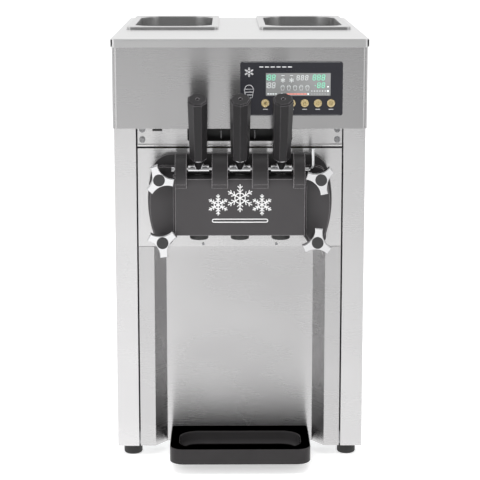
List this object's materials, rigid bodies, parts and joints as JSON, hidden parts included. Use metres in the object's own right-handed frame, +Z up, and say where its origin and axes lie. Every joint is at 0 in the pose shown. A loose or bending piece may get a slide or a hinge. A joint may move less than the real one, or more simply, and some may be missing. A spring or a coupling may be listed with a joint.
{
  "type": "soft serve machine",
  "caption": "Countertop soft serve machine with open hoppers, draw handles on a bolted freezer door, a keypad with display and a removable drip tray.",
  "frame": {"origin": "on the surface it stands on, under the middle of the bounding box", "axes": "+Z up, -Y out of the front with the handles, +X to the right as seen from the front"},
  "size_m": [0.425, 0.7013, 0.722],
  "materials": {
    "stainless_sheet": "horizontal brushed grain, satin",
    "stainless_polished": "bright satin polish",
    "galvanised_steel": "dull zinc",
    "barrel_steel": "satin",
    "foot_rubber": "matt",
    "seal_rubber": "matt",
    "door_plastic": "fine satin texture",
    "nozzle_plastic": "satin",
    "grip_plastic": "satin moulded",
    "chrome_fittings": "polished",
    "cap_plastic": "satin moulded",
    "zinc_fasteners": "bright zinc",
    "piston_plastic": "turned white plastic",
    "tray_plastic": "gloss moulded",
    "insulation_foam": "cut foam",
    "motor_paint": "semi-gloss paint",
    "compressor_paint": "semi-gloss paint",
    "condenser_fins": "thin pressed fins",
    "fan_plastic": "moulded",
    "panel_film": "printed film",
    "display_glass": "clear window",
    "button_gold": "satin gold",
    "board_laminate": "solder resist",
    "switch_plastic": "moulded",
    "gland_plastic": "moulded"
  },
  "bodies": {
    "cabinet": {"side_panel_left": "stainless_sheet", "side_panel_right": "stainless_sheet", "lower_front_panel": "stainless_sheet", "faceplate": "stainless_sheet", "upper_plate": "stainless_sheet", "head_panel": "stainless_sheet", "top_cover": "stainless_polished", "hopper_left": "stainless_polished", "hopper_right": "stainless_polished", "base_frame": "galvanised_steel", "corner_posts": "galvanised_steel", "rear_panel": "galvanised_steel", "freezing_cylinder_left": "barrel_steel", "freezing_cylinder_right": "barrel_steel", "feet": "foot_rubber", "door_seals": "seal_rubber", "door": "door_plastic", "nozzles": "nozzle_plastic", "panel_screws": "zinc_fasteners", "door_studs": "zinc_fasteners", "tray_pegs": "zinc_fasteners", "cylinder_insulation": "insulation_foam", "gearmotor_left": "motor_paint", "gearmotor_right": "motor_paint", "fan_motor": "motor_paint", "compressor": "compressor_paint", "condenser": "condenser_fins", "control_panel": "panel_film", "display_window": "display_glass", "control_board": "board_laminate", "cable_gland": "gland_plastic"},
    "lever_left": {"handle_left": "grip_plastic", "handle_fork_left": "chrome_fittings"},
    "valve_left": {"piston_left": "piston_plastic"},
    "lever_centre": {"handle_centre": "grip_plastic", "handle_fork_centre": "chrome_fittings"},
    "valve_centre": {"piston_centre": "piston_plastic"},
    "lever_right": {"handle_right": "grip_plastic", "handle_fork_right": "chrome_fittings"},
    "valve_right": {"piston_right": "piston_plastic"},
    "star_upper_left": {"knob_upper_left": "chrome_fittings", "knob_cap_upper_left": "cap_plastic"},
    "star_upper_right": {"knob_upper_right": "chrome_fittings", "knob_cap_upper_right": "cap_plastic"},
    "star_lower_left": {"knob_lower_left": "chrome_fittings", "knob_cap_lower_left": "cap_plastic"},
    "star_lower_right": {"knob_lower_right": "chrome_fittings", "knob_cap_lower_right": "cap_plastic"},
    "pin": {"pivot_rod": "chrome_fittings"},
    "dasher_left": {"beater_left": "barrel_steel"},
    "dasher_right": {"beater_right": "barrel_steel"},
    "fan_rotor": {"fan": "fan_plastic"},
    "key_1": {"button_1": "button_gold"},
    "key_2": {"button_2": "button_gold"},
    "key_3": {"button_3": "button_gold"},
    "key_4": {"button_4": "button_gold"},
    "key_5": {"button_5": "button_gold"},
    "key_6": {"button_6": "button_gold"},
    "rocker": {"power_switch": "switch_plastic"},
    "tray": {"drip_tray": "tray_plastic"}
  },
  "joints": [
    {"name": "handle_left_pull", "type": "hinge", "parent": "cabinet", "child": "lever_left", "pos_m": [-0.068, -0.2569, 0.503], "axis": [1, 0, 0], "range_deg": [0, 50]},
    {"name": "handle_centre_pull", "type": "hinge", "parent": "cabinet", "child": "lever_centre", "pos_m": [0, -0.2569, 0.503], "axis": [1, 0, 0], "range_deg": [0, 50]},
    {"name": "handle_right_pull", "type": "hinge", "parent": "cabinet", "child": "lever_right", "pos_m": [0.068, -0.2569, 0.503], "axis": [1, 0, 0], "range_deg": [0, 50]},
    {"name": "piston_left_lift", "type": "slide", "parent": "cabinet", "child": "valve_left", "axis": [0, 0, 1], "range_m": [0, 0.012]},
    {"name": "piston_centre_lift", "type": "slide", "parent": "cabinet", "child": "valve_centre", "axis": [0, 0, 1], "range_m": [0, 0.012]},
    {"name": "piston_right_lift", "type": "slide", "parent": "cabinet", "child": "valve_right", "axis": [0, 0, 1], "range_m": [0, 0.012]},
    {"name": "knob_upper_left_turn", "type": "hinge", "parent": "cabinet", "child": "star_upper_left", "pos_m": [-0.132, -0.2819, 0.49], "axis": [0, -1, 0], "range_deg": [0, 360]},
    {"name": "knob_upper_right_turn", "type": "hinge", "parent": "cabinet", "child": "star_upper_right", "pos_m": [0.132, -0.2819, 0.49], "axis": [0, -1, 0], "range_deg": [0, 360]},
    {"name": "knob_lower_left_turn", "type": "hinge", "parent": "cabinet", "child": "star_lower_left", "pos_m": [-0.127, -0.2819, 0.386], "axis": [0, -1, 0], "range_deg": [0, 360]},
    {"name": "knob_lower_right_turn", "type": "hinge", "parent": "cabinet", "child": "star_lower_right", "pos_m": [0.127, -0.2819, 0.386], "axis": [0, -1, 0], "range_deg": [0, 360]},
    {"name": "pivot_rod_turn", "type": "hinge", "parent": "cabinet", "child": "pin", "pos_m": [0, -0.2569, 0.503], "axis": [1, 0, 0], "range_deg": [-20, 30]},
    {"name": "beater_left_spin", "type": "hinge", "parent": "cabinet", "child": "dasher_left", "pos_m": [-0.068, 0, 0.447], "axis": [0, 1, 0], "continuous": true},
    {"name": "beater_right_spin", "type": "hinge", "parent": "cabinet", "child": "dasher_right", "pos_m": [0.068, 0, 0.447], "axis": [0, 1, 0], "continuous": true},
    {"name": "fan_spin", "type": "hinge", "parent": "cabinet", "child": "fan_rotor", "pos_m": [0.082, 0.26, 0.16], "axis": [0, 1, 0], "continuous": true},
    {"name": "button_1_press", "type": "slide", "parent": "cabinet", "child": "key_1", "axis": [0, 1, 0], "range_m": [0, 0.001], "stiffness_N_per_m": 400},
    {"name": "button_2_press", "type": "slide", "parent": "cabinet", "child": "key_2", "axis": [0, 1, 0], "range_m": [0, 0.001], "stiffness_N_per_m": 400},
    {"name": "button_3_press", "type": "slide", "parent": "cabinet", "child": "key_3", "axis": [0, 1, 0], "range_m": [0, 0.001], "stiffness_N_per_m": 400},
    {"name": "button_4_press", "type": "slide", "parent": "cabinet", "child": "key_4", "axis": [0, 1, 0], "range_m": [0, 0.001], "stiffness_N_per_m": 400},
    {"name": "button_5_press", "type": "slide", "parent": "cabinet", "child": "key_5", "axis": [0, 1, 0], "range_m": [0, 0.001], "stiffness_N_per_m": 400},
    {"name": "button_6_press", "type": "slide", "parent": "cabinet", "child": "key_6", "axis": [0, 1, 0], "range_m": [0, 0.001], "stiffness_N_per_m": 400},
    {"name": "power_switch_rock", "type": "hinge", "parent": "cabinet", "child": "rocker", "pos_m": [-0.137, -0.2219, 0.573], "axis": [1, 0, 0], "range_deg": [-16, 0]},
    {"name": "drip_tray_pull", "type": "slide", "parent": "cabinet", "child": "tray", "axis": [0, -1, 0], "range_m": [0, 0.05]}
  ],
  "couplings": [
    {"joint": "piston_left_lift", "follows": "handle_left_pull", "m_per_rad": 0.01317},
    {"joint": "piston_centre_lift", "follows": "handle_centre_pull", "m_per_rad": 0.01317},
    {"joint": "piston_right_lift", "follows": "handle_right_pull", "m_per_rad": 0.01317}
  ]
}
